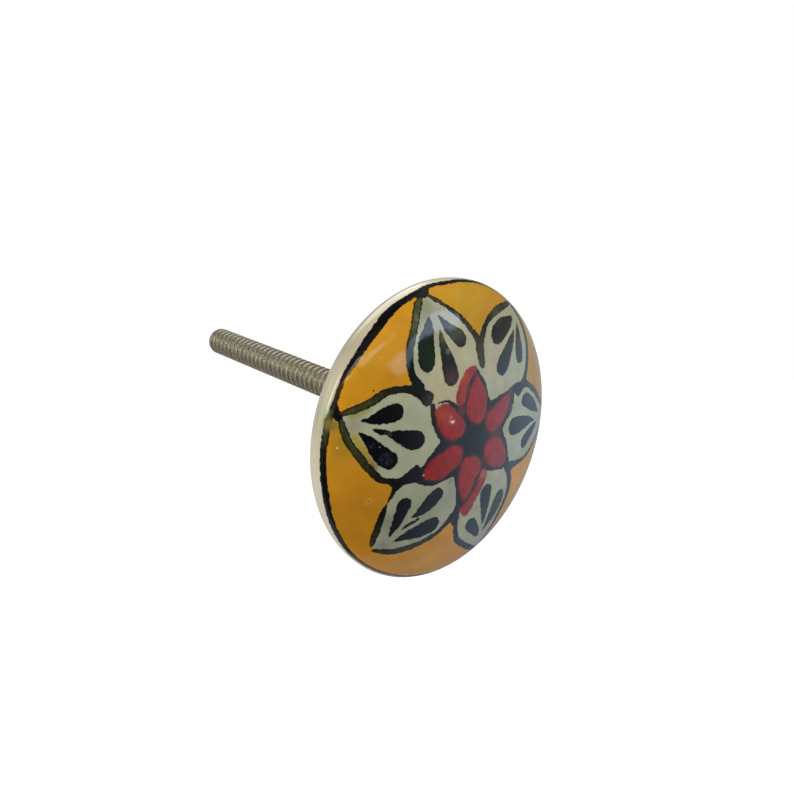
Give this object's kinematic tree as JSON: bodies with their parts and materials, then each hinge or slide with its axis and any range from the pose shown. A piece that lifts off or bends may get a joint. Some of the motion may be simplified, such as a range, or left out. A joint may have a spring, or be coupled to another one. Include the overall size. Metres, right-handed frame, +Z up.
{
  "type": "cabinet knob",
  "caption": "Round glazed ceramic cabinet knob with a domed, hand-painted flower front, a short neck and a threaded stud that passes through the door.",
  "frame": {"origin": "centre of the foot, where the neck meets the door and the stud leaves it", "axes": "+Y along the stud, away from the head and into the door; -Y is the painted front; +Z up as the flower is painted"},
  "size_m": [0.042, 0.064, 0.042],
  "materials": {
    "glazed_ceramic": "cream earthenware with a hand-painted flower on a yellow ground, under a clear gloss glaze",
    "cement": "matt set cement",
    "plated_steel": "dull zinc-plated rolled thread"
  },
  "bodies": {
    "root": {"ceramic_head": "glazed_ceramic", "socket_cement": "cement", "threaded_stud": "plated_steel"}
  },
  "joints": []
}
